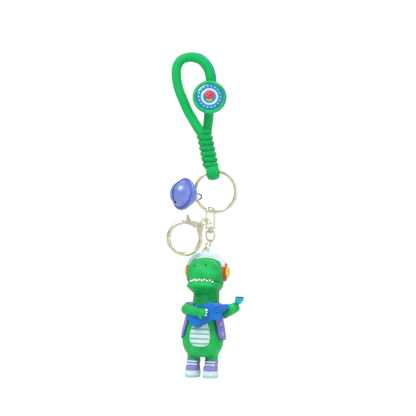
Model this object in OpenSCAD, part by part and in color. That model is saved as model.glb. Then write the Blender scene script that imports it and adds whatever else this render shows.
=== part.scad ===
/* [Strap] */
// Diameter of the wrist strap's cord
cord_d = 6.2; // [5.5:0.1:6.2]
// Diameter over the ribs of the wrapped end
wrap_d = 10.4; // [9.6:0.1:11]
// Number of turns in the wrapped end
wrap_turns = 7; // [5:1:8]
// Lean of the wrapped end, in degrees
wrap_lean = 11.7; // [8:0.1:14]
// Diameter of the badge that slides on the strap
badge_d = 22; // [19:0.5:23]

/* [Hardware] */
// Outer diameter of the split ring
split_ring_d = 28.6; // [28:0.1:29]
// Radial width of the split ring's wire
split_ring_w = 2.3; // [2:0.1:2.4]
// Wire diameter of the swivel's two shackles
shackle_wire = 1.1; // [0.9:0.05:1.15]
// Outer diameter of the round clasp
clasp_d = 23.4; // [23:0.1:24]
// Wire diameter of the jump ring above the figure
jump_wire = 1.2; // [1:0.05:1.25]

/* [Bell] */
// Diameter of the bell's shell, without its crimped rim
bell_d = 17.5; // [16.5:0.1:17.6]
// Wall thickness of the bell's shells
bell_wall = 0.6; // [0.5:0.05:0.8]
// Diameter of the crimped rim
bell_rim_d = 20.6; // [19.5:0.1:21]

/* [Figure] */
// Half width of the head
head_w = 12; // [11.6:0.1:12.4]
// Height of the mouth line above the soles
mouth_z = 64; // [63.5:0.1:64.5]
// Thickness of the guitar
guitar_t = 3.2; // [2.6:0.1:3.6]
// Thickness of the shoe soles
sole_t = 4.6; // [4:0.1:5]

/* [Hidden] */
$fn = 64;
fit = 0.05;
knit = 0.02;

// --- Shared shapes -----------------------------------------------------------------

function unit(v) = v / norm(v);
function mix(a, b, t) = a + (b - a) * t;

// One point of the smooth curve through four points, between the middle two.
function spline_point(p0, p1, p2, p3, t) =
    0.5 * (2 * p1 + (p2 - p0) * t + (2 * p0 - 5 * p1 + 4 * p2 - p3) * t * t
        + (3 * p1 - p0 - 3 * p2 + p3) * t * t * t);

// A smooth open curve through the points, with the given number of steps in each gap.
function smooth(pts, steps) = let (n = len(pts)) concat(
    [for (i = [0:n - 2], s = [0:steps - 1])
        spline_point(pts[max(i - 1, 0)], pts[i], pts[i + 1], pts[min(i + 2, n - 1)], s / steps)],
    [pts[n - 1]]);

// A smooth closed curve through the points.
function smooth_loop(pts, steps) = let (n = len(pts))
    [for (i = [0:n - 1], s = [0:steps - 1])
        spline_point(pts[(i + n - 1) % n], pts[i], pts[(i + 1) % n], pts[(i + 2) % n], s / steps)];

// The side faces and flat ends of a stack of rings that have the same number of points.
function ring_faces(rings, n) = concat(
    [[for (i = [0:n - 1]) i]],
    [for (k = [0:rings - 2], i = [0:n - 1])
        let (a = k * n + i, b = k * n + (i + 1) % n) [a, a + n, b]],
    [for (k = [0:rings - 2], i = [0:n - 1])
        let (a = k * n + i, b = k * n + (i + 1) % n) [b, a + n, b + n]],
    [[for (i = [n - 1:-1:0]) (rings - 1) * n + i]]);

// A round tube along a path that stays close to one plane, whose normal is given.
module sweep(path, r, sides, normal = [0, 1, 0]) {
    last = len(path) - 1;
    pts = [for (k = [0:last]) let (
            along = unit(path[min(k + 1, last)] - path[max(k - 1, 0)]),
            across = unit(cross(normal, along)),
            up = cross(along, across))
        for (i = [0:sides - 1]) let (a = 360 * i / sides)
            path[k] + r * (cos(a) * across + sin(a) * up)];
    polyhedron(pts, ring_faces(last + 1, sides), convexity = 8);
}

// Local x, y and z axes laid along three given directions at a given place.
module place(at, x, y, z) {
    multmatrix([[x[0], y[0], z[0], at[0]], [x[1], y[1], z[1], at[1]], [x[2], y[2], z[2], at[2]]])
        children();
}

// The same, from the z direction and a rough x direction.
module aim(at, z, x = [1, 0, 0]) {
    zz = unit(z);
    yy = unit(cross(zz, x));
    place(at, cross(yy, zz), yy, zz) children();
}

module torus(mean_r, wire, angle = 360, start = 0) {
    rotate([0, 0, start]) rotate_extrude(angle = angle) translate([mean_r, 0]) circle(d = wire);
}

// A superellipse in plan, with half width a, half depth b and squareness q.
function plan_point(a, b, q, t) = [
    a * sign(cos(t)) * pow(abs(cos(t)), 2 / q),
    b * sign(sin(t)) * pow(abs(sin(t)), 2 / q)];

// A rounded solid between two heights: full size at z_mid, closing at z_mid + up and z_mid - down.
module egg(a, b, z_mid, up, down, z_from, z_to, p = 2.4, q = 2.4, sides = 32, rings = 14) {
    // The heights are close together near the ends, where the outline turns quickest.
    heights = [for (k = [0:rings]) let (t = -90 + 180 * k / rings) mix(z_from, z_to, (1 + sin(t)) / 2)];
    pts = [for (z = heights) let (
            s = min(abs(z - z_mid) / (z > z_mid ? up : down), 0.998),
            f = pow(1 - pow(s, p), 1 / p))
        for (i = [0:sides - 1]) let (c = plan_point(a * f, b * f, q, 360 * i / sides)) [c[0], c[1], z]];
    polyhedron(pts, ring_faces(rings + 1, sides), convexity = 4);
}

// --- Places in the assembly --------------------------------------------------------

// The strap's route: up the left side, over the top and down the right, ending side by side in the wrap.
strap_route = [[5, -2, -44], [3.2, -1.6, -41.2], [0.7, -0.6, -37], [-2.6, 0, -31.2], [-5.2, 0, -25.4],
    [-7.7, 0, -19.5], [-9.4, 0, -13.7], [-10.2, 0, -7.8], [-9.6, 0, -2], [-6.6, 0, 2.2], [-1, 0, 3.8],
    [5.2, 0, 2.2], [9.7, 0, -2.4], [11.7, 0, -8.1], [12, 0, -13.7], [11.6, 0, -22.6], [11.1, 0, -31.2],
    [10.7, 0.8, -37], [10.1, 1.7, -41.2], [9.8, 2, -44]];

wrap_top = [7.5, 0, -44];
wrap_l = 25.4;
wrap_dir = [sin(wrap_lean), 0, -cos(wrap_lean)];
wrap_end = wrap_top + wrap_l * wrap_dir;

ring_centre = [15.3, 0, -83.7];
ring_t = 1.8;
ring_round = 0.5;
ring_mean = split_ring_d / 2 - split_ring_w / 2;
// Half the diagonal of the ring's rounded wire, which whatever hangs on it must clear.
ring_diag = norm([split_ring_w / 2 - ring_round, ring_t / 2 - ring_round]) + ring_round;
function on_ring(angle) = ring_centre + ring_mean * [cos(angle), 0, sin(angle)];

bight_angle = 97.8;
bight_at = on_ring(bight_angle);
bight_r = ring_diag + 0.08;
bight_w = 9;
bight_t = 4.6;

badge_at = [11.4, -7, -22.6];
badge_tilt = 12;

bell_angle = 197.7;
bell_at = [-5.5, -6.6, -85.2];
bell_axis = unit([-0.75, -0.63, 0.18]);
slot_angle = 50;
bell_contact = on_ring(bell_angle);

swivel_x = 12;
shackle_yaw = 40;
shackle_half = 3.35;
shackle_lift = ring_diag + shackle_wire / 2 + 0.8;
hook_at = ring_centre + [swivel_x - ring_centre[0], 0,
    -sqrt(pow(ring_mean, 2) - pow(ring_centre[0] - swivel_x, 2))];
shackle_top = hook_at[2] + shackle_lift;
plate_t = 0.9;
upper_plate_z = -107.8;
collar_h = 1.4;
lower_plate_z = upper_plate_z - collar_h - 2 * fit - plate_t;
shackle_bottom = -115.82;
pin_d = 1.5;

leg_at = [swivel_x - shackle_half * cos(shackle_yaw), -shackle_half * sin(shackle_yaw), -103.1];
side_wire = 0.85;
side_mean = 2.3;
side_yaw = 28;
side_tilt = 50;
side_centre = leg_at + [0.87, 0, 0];
side_x = [cos(side_yaw), sin(side_yaw), 0];
side_y = [-sin(side_yaw) * sin(side_tilt), cos(side_yaw) * sin(side_tilt), cos(side_tilt)];

eye_at = side_centre - side_mean * side_x;
clasp_centre = eye_at - [13.1, 0, 10.8];
clasp_wire = 2.6;
clasp_mean = (clasp_d - clasp_wire) / 2;
clasp_base_angle = 32;
clasp_tip_angle = 93;
pivot_at = clasp_centre + [9.6, 0, 8.4];
lever_t = 1.7;
cheek_t = 0.5;
eye_bore = 3.4;

jump_mean = 3.7;
jump_centre = [10.6, 0, -118.1];
jump_yaw = 72.5;
jump_lean = 20;
jump_up = [sin(jump_lean), 0, cos(jump_lean)];
jump_side = [cos(jump_yaw) * cos(jump_lean), sin(jump_yaw), -cos(jump_yaw) * sin(jump_lean)];
lug_at = jump_centre - jump_mean * jump_up;

// The figure hangs from its lug: its own axes have their origin on the ground under the lug.
figure_yaw = -12;
figure_lean = 2;
lug_z = 82.7;
lug_t = 1.8;
lug_bore = 2.7;
module figure() {
    translate(lug_at) rotate([0, figure_lean, 0]) rotate([0, 0, figure_yaw])
        translate([0, 0, -lug_z]) children();
}

// --- Strap -------------------------------------------------------------------------

module strap_cord() {
    color("mediumseagreen") sweep(smooth(strap_route, 2), cord_d / 2, 12);
}

module cord_wrap() {
    rib = wrap_l / wrap_turns;
    core_r = wrap_d / 2 - 1.1;
    color("mediumseagreen") aim(wrap_top, wrap_dir) {
        cylinder(r = core_r, h = wrap_l);
        for (i = [0:wrap_turns - 1])
            translate([0, 0, (i + 0.5) * rib]) torus(wrap_d / 2 - rib / 2 + 0.02, rib - 0.04);
    }
}

// The cord's bight, bent under the split ring's wire, with both ends up inside the wrap.
module ring_bight() {
    along_wire = [-sin(bight_angle), 0, cos(bight_angle)];
    color("mediumseagreen") difference() {
        // Local x points up, y back and z along the wire.
        aim(bight_at, along_wire, [0, 0, 1]) {
            rotate([0, 0, 90]) rotate_extrude(angle = 180)
                translate([bight_r + bight_t / 2, 0]) bight_section();
            for (side = [-1, 1]) translate([-knit, side * (bight_r + bight_t / 2), 0]) rotate([0, 90, 0])
                linear_extrude(3) rotate(90) bight_section();
        }
        aim(wrap_top, wrap_dir) cylinder(r = wrap_d, h = wrap_l + knit);
    }
}

module bight_section() {
    scale([bight_t / bight_w, 1]) circle(d = bight_w);
}

module badge_frame() {
    translate(badge_at) rotate([90 - badge_tilt, 0, 0]) children();
}

// The badge's rubber housing: a dished disc with a raised rim.
module badge_housing() {
    color("seagreen") badge_frame() difference() {
        rotate_extrude() polygon([[0, -1.4], [badge_d / 2 - 1, -1.4], [badge_d / 2, -0.6],
            [badge_d / 2, 0.9], [badge_d / 2 - 0.7, 1.5], [badge_d / 2 - 2.3, 1.5], [0, 1.5]]);
        translate([0, 0, 0.6]) cylinder(d = badge_d - 4.6, h = 2);
    }
}

// The loop behind the badge that the strap's cord runs through.
module badge_sleeve() {
    bore = cord_d / 2 + 0.25;
    color("seagreen") difference() {
        hull() {
            translate([11.6, 0, -27]) cylinder(r = bore + 1.1, h = 8.4);
            translate([11.6, -2.6, -27]) cylinder(r = bore + 1.1, h = 8.4);
        }
        sleeve_bore(bore);
        badge_frame() translate([0, 0, -1.4 - knit]) cylinder(d = badge_d + 8, h = 20);
    }
}

module sleeve_bore(r) {
    hull() for (x = [11.45, 11.75]) translate([x, 0, -30]) cylinder(r = r, h = 16);
}

module badge_disc() {
    color("dodgerblue") badge_frame() translate([0, 0, 0.6 + knit])
        cylinder(d = badge_d - 4.6 - 2 * knit, h = 0.5);
}

// A plain five-petal flower inside a plain ring.
module badge_flower() {
    color("crimson") badge_frame() translate([0, 0, 1.1 + 2 * knit]) {
        for (i = [0:4]) rotate([0, 0, 72 * i + 90]) translate([1.9, 0, 0]) cylinder(r = 1.5, h = 0.4);
        cylinder(r = 1.3, h = 0.7);
        difference() {
            cylinder(r = 5.2, h = 0.3);
            translate([0, 0, -1]) cylinder(r = 4.5, h = 3);
        }
    }
}

module badge_beads() {
    color("paleturquoise") badge_frame() translate([0, 0, 1.1 + 2 * knit])
        for (i = [0:17]) rotate([0, 0, 20 * i]) translate([6.9, 0, 0]) cylinder(r = 0.45, h = 0.35);
}

// --- Split ring --------------------------------------------------------------------

// Two flat turns of one wire, which look like two rings with a fine groove between them.
module split_ring() {
    r = ring_round;
    x0 = split_ring_w / 2 - r;
    y0 = ring_t / 2 - r;
    color("silver") translate(ring_centre) rotate([90, 0, 0]) rotate_extrude($fn = 128)
        translate([ring_mean, 0]) difference() {
            union() {
                square([2 * x0, ring_t], center = true);
                square([split_ring_w, 2 * y0], center = true);
                for (x = [-x0, x0], y = [-y0, y0]) translate([x, y]) circle(r = r);
            }
            for (side = [-1, 1]) translate([side * split_ring_w / 2, 0])
                square([0.7, 0.12], center = true);
        }
}

// --- Bell --------------------------------------------------------------------------

module bell_frame() {
    aim(bell_at, bell_axis, [0, 0, 1]) children();
}

// One half of the shell, from the equator to the pole, with half of the crimped rim.
module bell_half(rim_t) {
    r = bell_d / 2;
    rotate_extrude($fn = 96) difference() {
        union() {
            intersection() {
                circle(r = r);
                square(r + 1);
            }
            square([bell_rim_d / 2, rim_t]);
        }
        intersection() {
            circle(r = r - bell_wall);
            translate([-1, -1]) square(r + 1);
        }
        translate([-1, -1]) square([1, 2 * r]);
    }
}

module bell_slotted_shell() {
    color("mediumslateblue") bell_frame() difference() {
        translate([0, 0, knit]) bell_half(0.5);
        cube([bell_d * sin(slot_angle), 0.9, bell_d + 2], center = true);
        for (side = [-1, 1]) rotate([0, side * slot_angle, 0]) translate([0, 0, 5]) cylinder(d = 2.2, h = 6);
    }
}

module bell_loop_shell() {
    color("mediumslateblue") bell_frame() difference() {
        rotate([180, 0, 0]) bell_half(0.8);
        translate([0, 0, -12]) cylinder(d = 1.6, h = 6);
    }
}

loop_wire = 0.9;
loop_half = 2.7;
loop_turn = 38;
loop_from = 8.1;
loop_to = 15.3;

// The bell's wire loop, turned about the bell's axis so that it clears the ring's wire.
module bell_loop() {
    tangent = [sin(bell_angle), 0, -cos(bell_angle)];
    flat = unit(tangent - (tangent * bell_axis) * bell_axis);
    normal = cos(loop_turn) * flat + sin(loop_turn) * cross(bell_axis, flat);
    side = cross(normal, bell_axis);
    straight = loop_to - loop_from - 2 * loop_half + loop_wire / 2;
    color("silver") place(bell_at - (loop_to - loop_wire / 2 - loop_half) * bell_axis, side, -bell_axis,
        cross(side, -bell_axis)) {
        torus(loop_half, loop_wire, 180, 0);
        for (s = [-1, 1]) translate([s * loop_half, 0.01, 0]) rotate([90, 0, 0])
            cylinder(d = loop_wire, h = straight + 0.02);
        translate([0, -straight, 0]) torus(loop_half, loop_wire, 180, 180);
        translate([0, -straight - loop_half, 0]) rotate([90, 0, 0]) cylinder(d = 1.5, h = 1.7);
    }
}

// The loose ball lies at the bottom of the shell.
module bell_clapper() {
    r = 2.4;
    color("silver") translate(bell_at - [0, 0, bell_d / 2 - bell_wall - r - 0.1]) sphere(r = r);
}

// --- Swivel ------------------------------------------------------------------------

// A wire shackle: half a ring on two legs, with the round part at z = 0 and upwards.
module shackle(leg) {
    torus_end = shackle_half + shackle_wire / 2;
    rotate([90, 0, 0]) torus(shackle_half, shackle_wire, 180, 0);
    for (s = [-1, 1]) translate([s * shackle_half, 0, -leg]) cylinder(d = shackle_wire, h = leg + 0.01);
    translate([0, 0, -leg - plate_t + 0.01]) difference() {
        linear_extrude(plate_t) hull()
            for (s = [-1, 1]) translate([s * (torus_end - 1.2), 0]) circle(r = 1.2);
        translate([0, 0, -1]) cylinder(d = pin_d + 2 * fit, h = plate_t + 2);
    }
}

module upper_shackle() {
    arc_z = shackle_top - shackle_half;
    color("silver") translate([swivel_x, 0, arc_z]) rotate([0, 0, shackle_yaw])
        shackle(arc_z - upper_plate_z - plate_t);
}

module lower_shackle() {
    arc_z = shackle_bottom + shackle_half;
    color("silver") translate([swivel_x, 0, arc_z]) rotate([0, 0, -shackle_yaw]) rotate([180, 0, 0])
        shackle(lower_plate_z - arc_z);
}

// The round spacer between the two shackles' plates.
module swivel_collar() {
    color("silver") translate([swivel_x, 0, lower_plate_z + plate_t + knit]) difference() {
        cylinder(r = 2, h = collar_h);
        translate([0, 0, -1]) cylinder(d = pin_d + 2 * fit, h = 5);
    }
}

// The rivet through both plates, with a head at each end.
module swivel_pin() {
    top = upper_plate_z + plate_t + fit;
    low = lower_plate_z - knit;
    color("silver") translate([swivel_x, 0, 0]) {
        translate([0, 0, low - 0.3]) cylinder(d = pin_d, h = top - low + 0.6);
        translate([0, 0, top]) cylinder(d1 = 2.6, d2 = 2, h = 0.7);
        translate([0, 0, low - 0.7]) cylinder(d1 = 2, d2 = 2.6, h = 0.7);
    }
}

// --- Clasp -------------------------------------------------------------------------

module side_ring() {
    color("silver") place(side_centre, side_x, side_y, cross(side_x, side_y)) torus(side_mean, side_wire);
}

// Local x right, y up and z towards the front, in the clasp's own plane.
module clasp_frame(at) {
    translate(at) rotate([90, 0, 0]) children();
}

// The slanted plane where the hook's tip and the lever's gate meet: local y points into the hook.
module gate_frame() {
    rotate([0, 0, clasp_tip_angle]) translate([clasp_mean, 0, 0]) rotate([0, 0, -24]) children();
}

module clasp_hook() {
    eye = eye_at - clasp_centre;
    pivot = pivot_at - clasp_centre;
    color("silver") clasp_frame(clasp_centre) difference() {
        union() {
            difference() {
                torus(clasp_mean, clasp_wire, 312, clasp_tip_angle - 14);
                gate_frame() translate([-6, -8, -3]) cube([12, 8 + fit, 6]);
            }
            clasp_cheeks(pivot);
            eye_tab(eye, pivot);
        }
        translate([pivot[0], pivot[2], -4]) cylinder(d = pin_d - 0.3, h = 8);
        translate([eye[0], eye[2], -3]) cylinder(d = eye_bore, h = 6);
        lever_pocket(pivot);
    }
}

// The two cheeks that hold the lever's pin, joined to the root of the hook and to the eye.
module clasp_cheeks(pivot) {
    t = lever_t / 2 + fit + cheek_t;
    translate([0, 0, -t]) linear_extrude(2 * t) hull() {
        translate([pivot[0], pivot[2]]) circle(r = 1.9);
        translate([pivot[0] + 1.9, pivot[2] + 1.3]) circle(r = 1.4);
        for (a = [clasp_base_angle - 7, clasp_base_angle - 17])
            rotate([0, 0, a]) translate([clasp_mean, 0]) circle(d = clasp_wire - 0.1);
    }
}

module eye_tab(eye, pivot) {
    translate([0, 0, -0.4]) linear_extrude(0.8) hull() {
        translate([eye[0], eye[2]]) circle(d = eye_bore + 1.2);
        translate([pivot[0] + 1.9, pivot[2] + 1.3]) circle(r = 1.3);
    }
}

// The slot between the cheeks, in which the lever turns.
module lever_pocket(pivot) {
    t = lever_t / 2 + fit;
    translate([pivot[0], pivot[2], -t]) linear_extrude(2 * t) hull() {
        circle(r = 1.8);
        polygon([[0.4, 2.4], [-9, 5], [-9, -4.5], [-2.5, -3.4], [-0.2, -3.4], [1.6, -1.2]]);
    }
}

module lever_pin() {
    t = lever_t / 2 + fit + cheek_t;
    color("silver") clasp_frame(pivot_at) {
        translate([0, 0, -t - 0.15]) cylinder(d = pin_d - 0.34, h = 2 * t + 0.3);
        for (side = [0, 180]) rotate([0, side, 0])
            translate([0, 0, t + knit]) cylinder(d1 = 1.7, d2 = 1.3, h = 0.3);
    }
}

// The sprung lever: a gate that closes the hook, a back and a thumb spike.
module clasp_lever() {
    pivot = pivot_at - clasp_centre;
    px = pivot[0];
    py = pivot[2];
    gate_from = 44;
    color("silver") clasp_frame(clasp_centre) difference() {
        union() {
            difference() {
                rotate([0, 0, gate_from]) rotate_extrude(angle = clasp_tip_angle + 14 - gate_from)
                    translate([clasp_mean, 0]) square([2.2, lever_t], center = true);
                gate_frame() translate([-6, -fit, -3]) cube([12, 8, 6]);
            }
            translate([0, 0, -lever_t / 2]) linear_extrude(lever_t) {
                translate([px, py]) circle(r = 1.55);
                polygon([[px - 0.3, py - 1.5], [px + 0.4, py + 1.5], [px - 2.2, py + 2.6],
                    [px - 5.2, py + 2.9], [px - 8, py + 3.3], [px - 7.6, py + 1.4],
                    [px - 5, py + 0.2], [px - 3, py - 1.2]]);
            }
            thumb_spike(px - 6.8, py + 2.2);
        }
        translate([px, py, -4]) cylinder(d = pin_d - 0.3 + 2 * fit, h = 8);
    }
}

module thumb_spike(x, y) {
    translate([x, y, 0]) hull() {
        translate([-1.5, 0, -0.85]) cube([2.9, 1.2, 1.7]);
        translate([-0.8, 4.4, 0]) sphere(r = 0.6, $fn = 24);
    }
}

// The coil round the pin that closes the lever, in the gap behind it.
module lever_spring() {
    color("gray") clasp_frame(pivot_at) for (side = [-1, 1])
        translate([0, 0, side * (lever_t / 2 + fit + cheek_t + 0.58)]) torus(0.8, 0.35);
}

// --- Figure's jump ring ------------------------------------------------------------

module figure_jump_ring() {
    color("silver") place(jump_centre, jump_side, jump_up, cross(jump_side, jump_up))
        torus(jump_mean, jump_wire);
}

// --- Figure: headphones ------------------------------------------------------------

band_z = 68.8;
band_half = 12.7;
band_rise = 12.4;
band_t = 2.5;
ear_x = 10.3;
ear_back = 2.6;
// The headphones, and so the head in them, sit a little to the figure's left of the lug.
band_x = 0.6;
head_x = 0.3;

// Half of a rounded arch in local x and z.
module arch(half, rise) {
    polygon([for (i = [0:24]) plan_point(half, rise, 2.7, 7.5 * i)]);
}

// The band over the head, with the lug that the jump ring passes through.
module headband() {
    lug_w = 4.6;
    color("paleturquoise") figure() difference() {
        union() {
            translate([band_x, 2.4, band_z]) rotate([90, 0, 0]) linear_extrude(4.8) difference() {
                arch(band_half, band_rise);
                arch(band_half - band_t, band_rise - band_t);
            }
            translate([0, lug_t / 2, 0]) rotate([90, 0, 0]) linear_extrude(lug_t) hull() {
                translate([0, lug_z]) circle(d = lug_w);
                translate([-lug_w / 2 - 0.6, lug_z - 2.8]) square([lug_w + 1.2, 0.6]);
            }
        }
        translate([0, 5, lug_z]) rotate([90, 0, 0]) cylinder(d = lug_bore, h = 10);
    }
}

module ear_side(side) {
    figure() translate([band_x + side * ear_x, ear_back, band_z]) rotate([0, side * 90, 0]) children();
}

module ear_cushion(side) {
    color("crimson") ear_side(side) rotate_extrude() hull() {
        translate([5, 1.3]) circle(r = 1.25);
        translate([0, 0.05]) square([4, 2.5]);
    }
}

module ear_cup(side) {
    color("gold") ear_side(side) translate([0, 0, 2.55 + knit]) rotate_extrude()
        polygon([[0, 0], [4.1, 0], [4.1, 0.6], [3.5, 1.3], [2.2, 1.8], [0, 1.9]]);
}

// --- Figure: head ------------------------------------------------------------------

module head() {
    color("mediumseagreen") figure() translate([head_x, -1.2, 0])
        egg(head_w, 12.6, 67, 10.9, 10, mouth_z, 77.85, 2.25, 2.4);
}

module lower_jaw() {
    color("mediumseagreen") figure() translate([head_x, -1, 0])
        egg(head_w - 0.3, 12.2, 62.4, 10, 9.4, 53.2, mouth_z - knit, 2.1, 2.4);
}

// The front of the head at a distance from its middle and a height.
function on_face(x, z, out) = let (
        f = pow(1 - pow(abs(z - 67) / 10.9, 2.25), 1 / 2.25),
        s = pow(min(abs(x) / (head_w * f + out), 0.99), 1.2))
    [head_x + x, -1.2 - (12.6 * f + out) * pow(1 - s * s, 1 / 2.4), z];

module eyes() {
    color("black") figure() for (at = [[-5.2, 72.6], [2.1, 73.2]])
        translate(on_face(at[0], at[1], -0.25)) sphere(d = 1.6, $fn = 32);
}

module upper_teeth() {
    color("white") figure() for (x = [-4.6, -1.5, 1.8, 5.4])
        translate(on_face(x, mouth_z + 0.4, -0.15)) translate([0, 0, -0.35])
            mirror([0, 0, 1]) cylinder(d1 = 1.5, d2 = 0.5, h = 1.1);
}

module lower_teeth() {
    color("white") figure() for (x = [-7.6, -6.2, -3.1, 0.2, 3.6, 7])
        translate(on_face(x, mouth_z + 0.4, -0.15)) translate([0, 0, -1.6])
            cylinder(d1 = 1.5, d2 = 0.5, h = 1.1);
}

// --- Figure: body ------------------------------------------------------------------

// Heights, half widths, half depths and middles of the body, from the crotch to the neck.
body_stations = [[13.4, 7.6, 6.4, 0.2], [15.2, 10, 8.4, -0.2], [19, 12.3, 10.2, -0.8], [24, 13.4, 11, -1],
    [30, 12.9, 10.6, -0.8], [37, 11.5, 9.4, -0.2], [43, 10.2, 8.4, 0.5], [48, 8.8, 7.7, 1],
    [55.5, 8.3, 7.6, 1]];
body_curve = smooth(body_stations, 2);

function body_ring_at(z) = let (
        i = max([for (k = [0:len(body_curve) - 2]) body_curve[k][0] <= z ? k : 0]),
        t = (z - body_curve[i][0]) / (body_curve[i + 1][0] - body_curve[i][0]))
    mix(body_curve[i], body_curve[i + 1], t);

// A point on the body's surface, moved out by a distance: bearing 0 is straight ahead.
function body_point(t, z, out) = let (
        s = body_ring_at(z),
        c = plan_point(s[1] + out, s[2] + out, 2.2, t - 90))
    [c[0] + 0.9 * max(0, min(1, (z - 38) / 14)), c[1] + s[3], z];

module torso() {
    sides = 32;
    pts = [for (s = body_curve) for (i = [0:sides - 1]) body_point(360 * i / sides + 90, s[0], 0)];
    color("mediumseagreen") figure() polyhedron(pts, ring_faces(len(body_curve), sides), convexity = 4);
}

// A curved panel on the body. Each edge's bearing and each face's distance out is given at the
// panel's foot and at its top.
module body_panel(from, to, z_from, z_to, inner, outer, across = 10, up = 8) {
    pts = [for (k = [0:up]) let (u = k / up, z = mix(z_from, z_to, u))
        for (i = [0:2 * across + 1]) let (
                out = i > across,
                v = (out ? 2 * across + 1 - i : i) / across,
                t = mix(mix(from[0], from[1], u), mix(to[0], to[1], u), v))
            body_point(t, z, out ? mix(inner[0], inner[1], u) : mix(outer[0], outer[1], u))];
    polyhedron(pts, ring_faces(up + 1, 2 * across + 2), convexity = 6);
}

module belly_panel() {
    color("white") figure() body_panel([-26, -30], [26, 30], 20.6, 37, [knit, knit], [0.7, 0.7]);
}

// Four raised wavy lines across the belly panel.
module belly_waves() {
    color("mediumseagreen") figure() for (z = [22.9, 25.9, 28.9, 31.8])
        sweep([for (t = [-23:2:23]) body_point(t, z + 0.32 * cos(40 * t), 0.72)], 0.36, 6);
}

module tail() {
    route = smooth([[0, 7, 21], [0, 11.5, 17.5], [0, 15, 14.8], [0, 17.5, 14]], 3);
    color("mediumseagreen") figure() tapered(route, 5, 1.4);
}

module tapered(route, r0, r1) {
    n = len(route) - 1;
    for (k = [0:n - 1]) hull() for (j = [k, k + 1])
        translate(route[j]) sphere(r = mix(r0, r1, j / n), $fn = 24);
}

module leg(side) {
    color("mediumseagreen") figure() translate([side * 5.9, 0.4, sole_t + 3])
        cylinder(d1 = 7.6, d2 = 8.6, h = 10.5);
}

// --- Figure: arms ------------------------------------------------------------------

right_arm_route = [[-9.6, 1.5, 44.6], [-10.4, -4, 44], [-7, -12.4, 43.8], [-0.6, -16, 43.2],
    [2.6, -16.4, 42.8]];
left_arm_route = [[9.4, 1, 44.6], [13.4, -1.5, 43.2], [17.8, -6.5, 43.8], [21.8, -11.4, 46.2]];

module limb(route, r0, r1) {
    n = len(route) - 1;
    for (k = [0:n - 1]) hull() for (j = [k, k + 1])
        translate(route[j]) sphere(r = mix(r0, r1, j / n), $fn = 28);
}

module right_arm() {
    color("mediumseagreen") figure() {
        limb(right_arm_route, 3.5, 2.9);
        hull() {
            translate([0.4, -17, 42]) sphere(r = 1.4, $fn = 20);
            translate([1.4, -17.4, 39.8]) sphere(r = 0.9, $fn = 20);
        }
    }
}

module left_arm() {
    color("mediumseagreen") figure() {
        limb(left_arm_route, 3.2, 3.2);
        hull() {
            translate([21, -12.6, 45.8]) sphere(r = 3, $fn = 24);
            translate([22.8, -12.4, 46.8]) sphere(r = 2.9, $fn = 24);
        }
        hull() for (x = [20.2, 22.6]) translate([x, -14.4, 47.8]) sphere(r = 1.2, $fn = 20);
    }
}

module claw(at, dir) {
    aim(at, dir, [0, 1, 0.1]) cylinder(d1 = 1.3, d2 = 0.4, h = 1.5);
}

module right_claws() {
    color("white") figure() for (i = [0:2])
        claw([4.6 - 0.25 * i, -17, 44.6 - 1.5 * i], [1, -0.25, 0.1 - 0.2 * i]);
}

module left_claws() {
    color("white") figure() for (i = [0:2])
        claw([20 + 1.3 * i, -15.2, 47 - 0.1 * i], [0.15, -1, -0.7]);
}

// --- Figure: vest ------------------------------------------------------------------

vest_foot = 25.4;
vest_top = 48.5;

module vest_back() {
    color("mediumpurple") figure()
        body_panel([100, 100], [260, 260], vest_foot, vest_top, [0.1, 0.1], [1.3, 1.2], 14, 8);
}

module vest_front_left() {
    color("mediumpurple") figure()
        body_panel([53, 39], [99.6, 99.6], vest_foot, vest_top, [0.1, 0.1], [1.7, 1.2], 8, 8);
}

module vest_front_right() {
    color("mediumpurple") figure()
        body_panel([260.4, 260.4], [308, 321], vest_foot, vest_top, [0.1, 0.1], [1, 1.1], 8, 8);
}

module sleeve(a, b, r0, r1) {
    aim(a, b - a, [0, 1, 0.2]) cylinder(r1 = r0, r2 = r1, h = norm(b - a));
}

module sleeve_left() {
    color("mediumpurple") figure() sleeve([8.6, 0.8, 45.2], [15.4, -4.4, 43.2], 3.7, 4.1);
}

module sleeve_right() {
    color("mediumpurple") figure() sleeve([-8, 2.2, 45], [-10.2, -1.6, 44.2], 3.8, 4.2);
}

// --- Figure: guitar ----------------------------------------------------------------

guitar_back = -11.6;
guitar_outline = [[-6.8, 43.4], [-3.5, 47], [2.4, 47.7], [6, 49.7], [9.4, 48.8], [12, 47.7], [15.2, 48.6],
    [19.2, 48.8], [19.3, 46.6], [14.8, 43.2], [14.2, 41], [14.6, 38.9], [9, 38], [4, 35.4], [-1.2, 32.7],
    [-6, 35.6], [-8.2, 40]];
neck_angle = 24;

module guitar_frame() {
    figure() translate([0, guitar_back, 0]) rotate([90, 0, 0]) children();
}

module guitar_body() {
    color("royalblue") guitar_frame() linear_extrude(guitar_t) polygon(smooth_loop(guitar_outline, 4));
}

module guitar_neck() {
    color("dodgerblue") guitar_frame() translate([9, 43.4, guitar_t + knit]) rotate([0, 0, neck_angle])
        translate([0, -1.1, 0]) cube([11.4, 2.2, 1.2]);
}

module guitar_headstock() {
    color("lightseagreen") guitar_frame() translate([0, 0, 0.8])
        linear_extrude(2) polygon([[22.6, 51], [23, 53.3], [23.6, 53.8], [27.9, 53.8], [28.7, 52.3],
            [26.4, 49.4], [24.9, 48.6]]);
}

// --- Figure: shoes -----------------------------------------------------------------

module shoe_outline(grow) {
    hull() {
        translate([0, 2]) circle(r = 4.2 + grow);
        translate([-0.2, -4.2]) circle(r = 4.5 + grow);
    }
}

module shoe_sole(side) {
    color("white") figure() translate([side * 5.9, 0, 0]) linear_extrude(sole_t) shoe_outline(0.4);
}

module shoe_upper(side) {
    color("mediumpurple") figure() translate([side * 5.9, 0, sole_t + knit]) hull() {
        linear_extrude(2.6) shoe_outline(0);
        translate([0, 1, 0]) cylinder(r = 4.3, h = 6.7);
    }
}

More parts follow.
